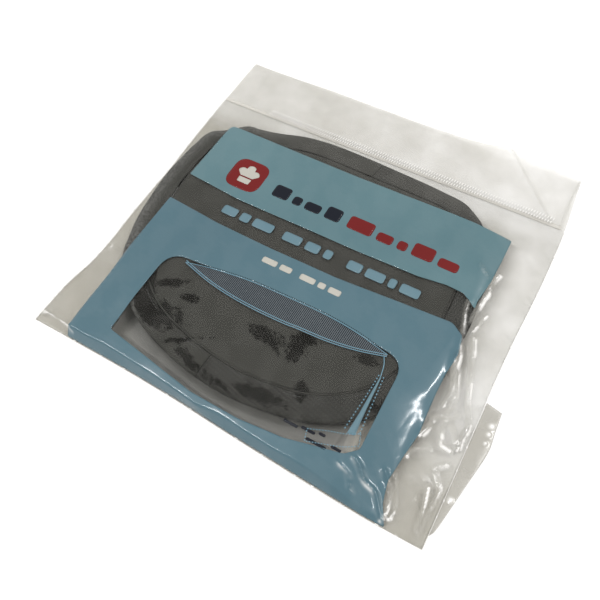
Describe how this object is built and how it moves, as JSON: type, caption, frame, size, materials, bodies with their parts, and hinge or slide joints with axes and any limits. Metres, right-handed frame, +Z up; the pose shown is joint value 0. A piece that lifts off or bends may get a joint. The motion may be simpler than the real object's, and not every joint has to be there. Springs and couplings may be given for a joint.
{
  "type": "packed chef beanie",
  "caption": "Vented chef's beanie with a hook-and-loop back strap, laid flat in a printed clear film pouch with a press-to-close mouth.",
  "frame": {"origin": "middle of the 240 x 240 mm pouch, on the underside of the back film, where it rests", "axes": "+Z up out of the front film, +Y up the pouch to its mouth, +X to the pouch's right-hand edge seen from the front"},
  "size_m": [0.2502, 0.24, 0.012],
  "materials": {
    "clear_film": "thin clear glossy film, lightly creased",
    "welded_film": "two films welded together, milky and knurled",
    "blue_ink": "flat grey-blue printing ink under the gloss of the film",
    "vent_mesh": "open knitted vent mesh",
    "twill": "ribbed twill, matte",
    "sweatband": "soft jersey terry",
    "label": "woven satin ribbon",
    "loop_tape": "fuzzy loop pile",
    "hook_tape": "rows of fine moulded hooks",
    "strap_webbing": "folded and stitched twill strip"
  },
  "bodies": {
    "pouch": {"back_film": "clear_film", "front_film": "clear_film", "side_weld_left": "welded_film", "side_weld_right": "welded_film", "bottom_weld": "welded_film", "zip_groove": "welded_film", "print_upper_block": "blue_ink", "print_lower_block": "blue_ink"},
    "mouth_lip": {"front_lip": "clear_film", "zip_rib": "welded_film"},
    "loose_tab": {"side_tab": "clear_film"},
    "hat": {"crown_vent_panel": "vent_mesh", "crown_piping": "twill", "side_band_front": "twill", "side_band_back_right": "twill", "side_band_back_left": "twill", "sweatband_front": "sweatband", "sweatband_back_right": "sweatband", "sweatband_back_left": "sweatband", "side_seam_tape_right": "twill", "side_seam_tape_left": "twill", "notch_binding_right": "twill", "notch_binding_left": "twill", "care_label": "label", "loop_patch": "loop_tape"},
    "closure": {"closure_strap": "strap_webbing", "hook_patch": "hook_tape"}
  },
  "joints": [
    {"name": "mouth_fold", "type": "hinge", "parent": "pouch", "child": "mouth_lip", "pos_m": [0, 0.0779, 0.002], "axis": [1, 0, 0], "range_deg": [0, 120]},
    {"name": "tab_fold", "type": "hinge", "parent": "pouch", "child": "loose_tab", "pos_m": [0.1204, -0.08, 0.0002], "axis": [0, -1, 0], "range_deg": [0, 120]},
    {"name": "hat_slide", "type": "slide", "parent": "pouch", "child": "hat", "axis": [0, 1, 0], "range_m": [0, 0.235], "deforming": ["front_film", "print_upper_block", "print_lower_block"]},
    {"name": "strap_slide", "type": "slide", "parent": "hat", "child": "closure", "axis": [0, -1, 0], "range_m": [0, 0.02]}
  ]
}
